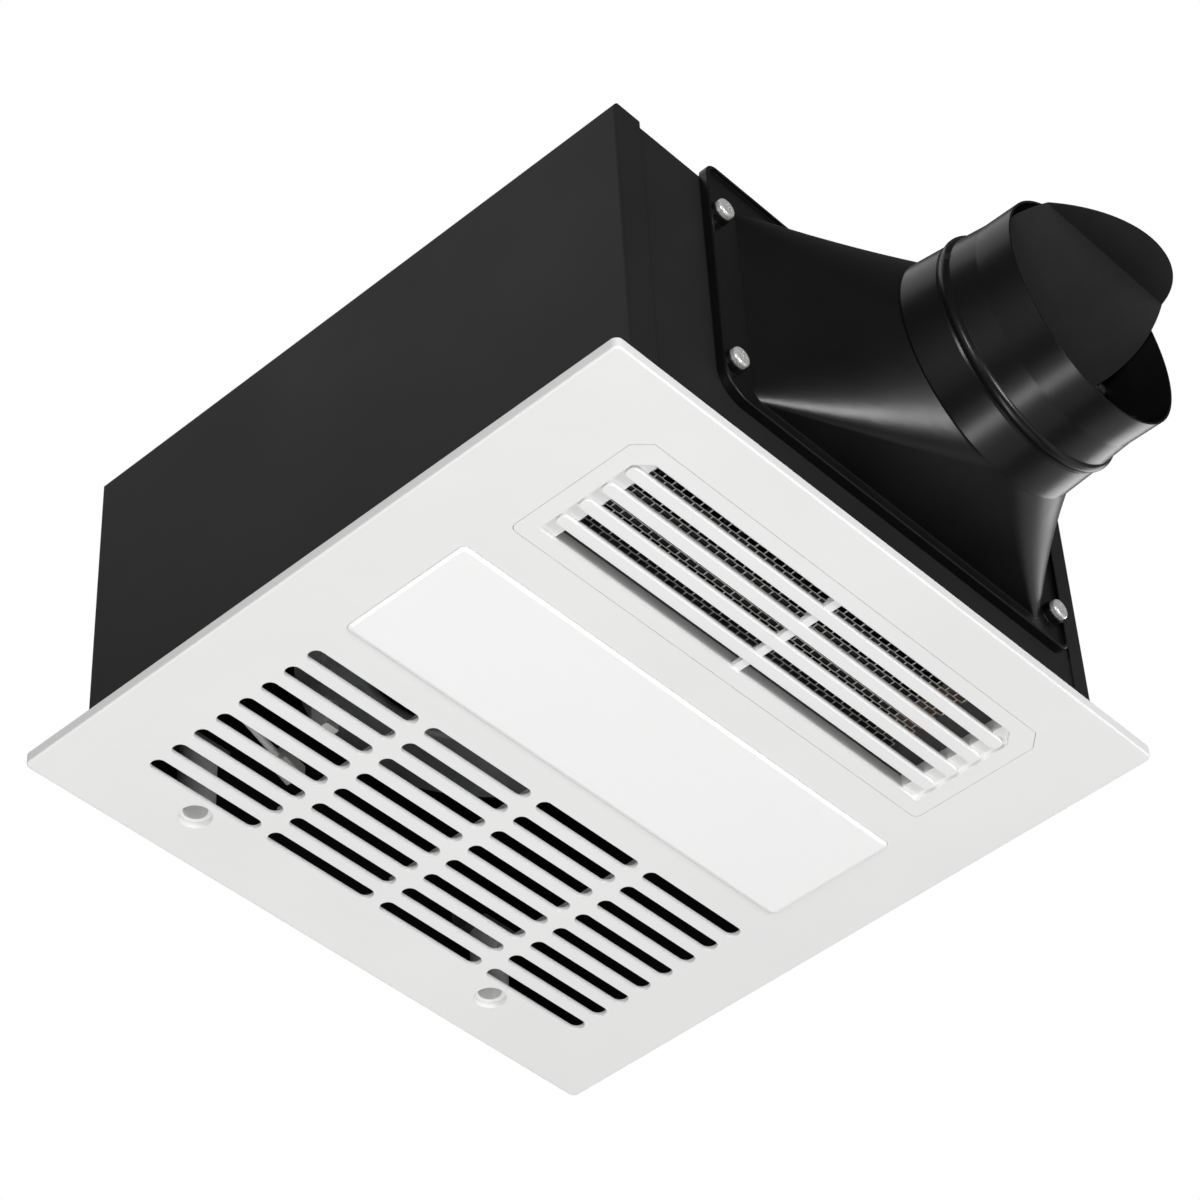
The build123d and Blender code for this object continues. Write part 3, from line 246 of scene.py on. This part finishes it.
# After its name each look has its dark and its light colour and its range of roughness
looks = {
    "body_black": coated(
        "body_black", (0.0090, 0.0090, 0.0095), (0.0125, 0.0125, 0.013), (0.52, 0.62),
        grain_mm=0.9, depth_mm=0.035, soft_mm=0.5, specular=0.38, patch_mm=120),
    "duct_black": coated(
        "duct_black", (0.0025, 0.0025, 0.0027), (0.0040, 0.0040, 0.0042), (0.30, 0.38),
        grain_mm=1.4, depth_mm=0.006, soft_mm=0.7, specular=0.40, patch_mm=50),
    "collar_black": coated(
        "collar_black", (0.0045, 0.0045, 0.0047), (0.0065, 0.0065, 0.0068), (0.23, 0.29),
        grain_mm=1.1, depth_mm=0.008, soft_mm=0.3, specular=0.25, patch_mm=40),
    "flap_black": coated(
        "flap_black", (0.020, 0.020, 0.0205), (0.027, 0.027, 0.0275), (0.78, 0.9),
        grain_mm=0.5, depth_mm=0.06, soft_mm=0.2, specular=0.2, patch_mm=30),
    "white_plastic": coated(
        "white_plastic", (0.835, 0.835, 0.83), (0.865, 0.865, 0.86), (0.40, 0.48),
        grain_mm=0.5, depth_mm=0.012, soft_mm=0.3, specular=0.32, patch_mm=90),
    "lens": milky("lens"),
    "zinc": metal(
        "zinc", (0.80, 0.80, 0.79), (0.92, 0.92, 0.91), (0.20, 0.34),
        grain_mm=0.8, patch_mm=4, soft_mm=0.3, metallic=0.6),
    "galvanised": galvanised_sheet("galvanised"),
    "mesh_steel": metal(
        "mesh_steel", (0.88, 0.88, 0.87), (0.97, 0.97, 0.96), (0.3, 0.45),
        grain_mm=1.5, patch_mm=9, soft_mm=0, metallic=0.3),
    "foam": foam_sheet("foam"),
    "wheel_black": coated(
        "wheel_black", (0.012, 0.012, 0.013), (0.018, 0.018, 0.019), (0.45, 0.55),
        grain_mm=0.8, soft_mm=0.2),
    "motor_steel": metal(
        "motor_steel", (0.40, 0.40, 0.40), (0.52, 0.52, 0.51), (0.28, 0.42)),
    "lamination": metal(
        "lamination", (0.14, 0.14, 0.15), (0.24, 0.24, 0.25), (0.4, 0.55),
        stretch=(1, 1, 40), grain_mm=20, patch_mm=9, soft_mm=0, depth_mm=0.05),
    "bronze": metal(
        "bronze", (0.42, 0.29, 0.13), (0.56, 0.40, 0.19), (0.35, 0.5)),
    "shaft_steel": metal(
        "shaft_steel", (0.58, 0.58, 0.58), (0.68, 0.68, 0.67), (0.14, 0.24)),
    "ceramic": coated(
        "ceramic", (0.10, 0.065, 0.045), (0.15, 0.10, 0.07), (0.5, 0.65),
        grain_mm=1.2, depth_mm=0.04),
    "element_alu": metal(
        "element_alu", (0.05, 0.05, 0.05), (0.09, 0.088, 0.086), (0.4, 0.55),
        stretch=(1, 0.05, 1)),
    "fan_alu": metal(
        "fan_alu", (0.62, 0.62, 0.62), (0.74, 0.74, 0.73), (0.25, 0.4), stretch=(1, 0.05, 1)),
    "board_white": coated(
        "board_white", (0.78, 0.79, 0.77), (0.84, 0.85, 0.83), (0.3, 0.4),
        grain_mm=2, depth_mm=0.01),
    "chip_yellow": coated(
        "chip_yellow", (0.82, 0.68, 0.18), (0.90, 0.78, 0.30), (0.3, 0.4),
        grain_mm=0.5, depth_mm=0.01),
    "nylon": coated(
        "nylon", (0.88, 0.88, 0.86), (0.93, 0.93, 0.91), (0.35, 0.5),
        grain_mm=0.8, depth_mm=0.015, soft_mm=0.25),
    "lead_white": coated(
        "lead_white", (0.88, 0.88, 0.87), (0.93, 0.93, 0.92), (0.4, 0.5),
        grain_mm=1, depth_mm=0.01, soft_mm=0),
    "capacitor_case": coated(
        "capacitor_case", (0.74, 0.74, 0.71), (0.80, 0.80, 0.78), (0.35, 0.45),
        grain_mm=1.0, depth_mm=0.01),
    "clamp_black": coated(
        "clamp_black", (0.010, 0.010, 0.010), (0.016, 0.016, 0.016), (0.4, 0.5),
        grain_mm=0.8),
}
for part in frame["record"]["subparts"]:
    for slot in nodes[part["node"]].material_slots:
        slot.material = looks[part["material_slot"]]


# Pieces
def add_mesh(name, shape):
    """Turns a bmesh into an object."""
    mesh = bpy.data.meshes.new(name)
    shape.to_mesh(mesh)
    shape.free()
    piece = bpy.data.objects.new(name, mesh)
    bpy.context.collection.objects.link(piece)
    return piece


def add_piece(name, shape, body, slot, replaced):
    """Turns a bmesh into a piece that rides on a body and replaces CAD nodes."""
    piece = add_mesh(name, shape)
    piece.data.materials.append(looks[slot])
    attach(piece, body)
    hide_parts(*replaced)


def wire(shape, points, radius):
    """A wire through the points, with closed ends."""
    rings = []
    for index, point in enumerate(points):
        before, after = points[max(index - 1, 0)], points[min(index + 1, len(points) - 1)]
        along = (after - before).normalized()
        side = along.cross(Vector((0, 0, 1))).normalized()
        up = side.cross(along)
        rings.append([
            shape.verts.new(point + radius * (side * math.cos(turn) + up * math.sin(turn)))
            for turn in [2 * math.pi * k / wire_sides for k in range(wire_sides)]
        ])
    for first, second in zip(rings[:-1], rings[1:]):
        for k in range(wire_sides):
            following = (k + 1) % wire_sides
            face = shape.faces.new((first[k], first[following], second[following], second[k]))
            face.smooth = True
    shape.faces.new(rings[0][::-1])
    shape.faces.new(rings[-1])


def guard_mesh():
    """The guard as wire: long wires, and short ones staggered like bricks between them."""
    low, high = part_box("heater_guard")
    shape = bmesh.new()
    rows = round((high.x - low.x) / wire_spacing)
    columns = round((high.y - low.y) / short_spacing)
    step_x = (high.x - low.x - 2 * long_radius) / rows
    step_y = (high.y - low.y - 2 * long_radius) / columns
    level = (low.z + high.z) / 2
    start_x, start_y = low.x + long_radius, low.y + long_radius
    for row in range(rows + 1):
        x = start_x + row * step_x
        points = [Vector((x, low.y, level))]
        for k in range(columns * 2):
            lift = weave_lift * (1 if k % 2 else -1)
            points.append(Vector((x, start_y + (k + 0.5) * step_y / 2, level + lift)))
        points.append(Vector((x, high.y, level)))
        wire(shape, points, long_radius)
        if row == rows:
            break
        for k in range(columns + 1):
            y = start_y + (k + 0.5 * (row % 2)) * step_y
            if y < high.y:
                ends = [Vector((x, y, level)), Vector((x + step_x, y, level))]
                wire(shape, ends, short_radius)
    return shape


add_piece("guard_wires", guard_mesh(), "housing", "mesh_steel", ["heater_guard"])

# Floor, lamps and surroundings
floor_shape = bmesh.new()
bmesh.ops.create_circle(floor_shape, cap_ends=True, segments=floor_sides, radius=floor_radius)
floor = add_mesh("floor", floor_shape)
floor.location = (0, 0, floor_z)
floor_look = coated("floor_look", (0.80, 0.80, 0.80), (0.84, 0.84, 0.84), (0.7, 0.8),
                    grain_mm=3, soft_mm=0)
glow(floor_look.node_tree.nodes["Principled BSDF"], floor_glow)
floor.data.materials.append(floor_look)

middle = (cad_box[0] + cad_box[1]) / 2
for name, place, size, power in lamps:
    data = bpy.data.lights.new(name, "AREA")
    data.shape = "RECTANGLE"
    data.size, data.size_y = size
    data.energy = power
    lamp = bpy.data.objects.new(name, data)
    bpy.context.collection.objects.link(lamp)
    lamp.location = place
    lamp.rotation_mode = "QUATERNION"
    lamp.rotation_quaternion = (middle - Vector(place)).to_track_quat("-Z", "Y")

world = bpy.data.worlds.new("world")
bpy.context.scene.world = world
world.use_nodes = True
sky = world.node_tree
sky.nodes.clear()


def white_light():
    node = sky.nodes.new("ShaderNodeBackground")
    node.inputs["Color"].default_value = (1, 1, 1, 1)
    node.inputs["Strength"].default_value = 1.0
    return node


direction = sky.nodes.new("ShaderNodeTexCoord")
downward = sky.nodes.new("ShaderNodeVectorMath")
downward.operation = "DOT_PRODUCT"
downward.inputs[1].default_value = (0, 0, -1)
sky.links.new(direction.outputs["Generated"], downward.inputs[0])
ring = sky.nodes.new("ShaderNodeMath")
ring.operation = "MULTIPLY"
sky.links.new(spread(sky, downward.outputs["Value"], above_strength, ring_strength, *ring_top),
              ring.inputs[0])
sky.links.new(spread(sky, downward.outputs["Value"], 1.0, straight_below_share, *ring_bottom),
              ring.inputs[1])
surroundings = white_light()
sky.links.new(ring.outputs["Value"], surroundings.inputs["Strength"])

# The camera sees plain white, and every other ray the ring
rays = sky.nodes.new("ShaderNodeLightPath")
either = sky.nodes.new("ShaderNodeMixShader")
out = sky.nodes.new("ShaderNodeOutputWorld")
sky.links.new(rays.outputs["Is Camera Ray"], either.inputs["Fac"])
sky.links.new(surroundings.outputs["Background"], either.inputs[1])
sky.links.new(white_light().outputs["Background"], either.inputs[2])
sky.links.new(either.outputs["Shader"], out.inputs["Surface"])

bpy.context.scene.view_settings.view_transform = "Standard"
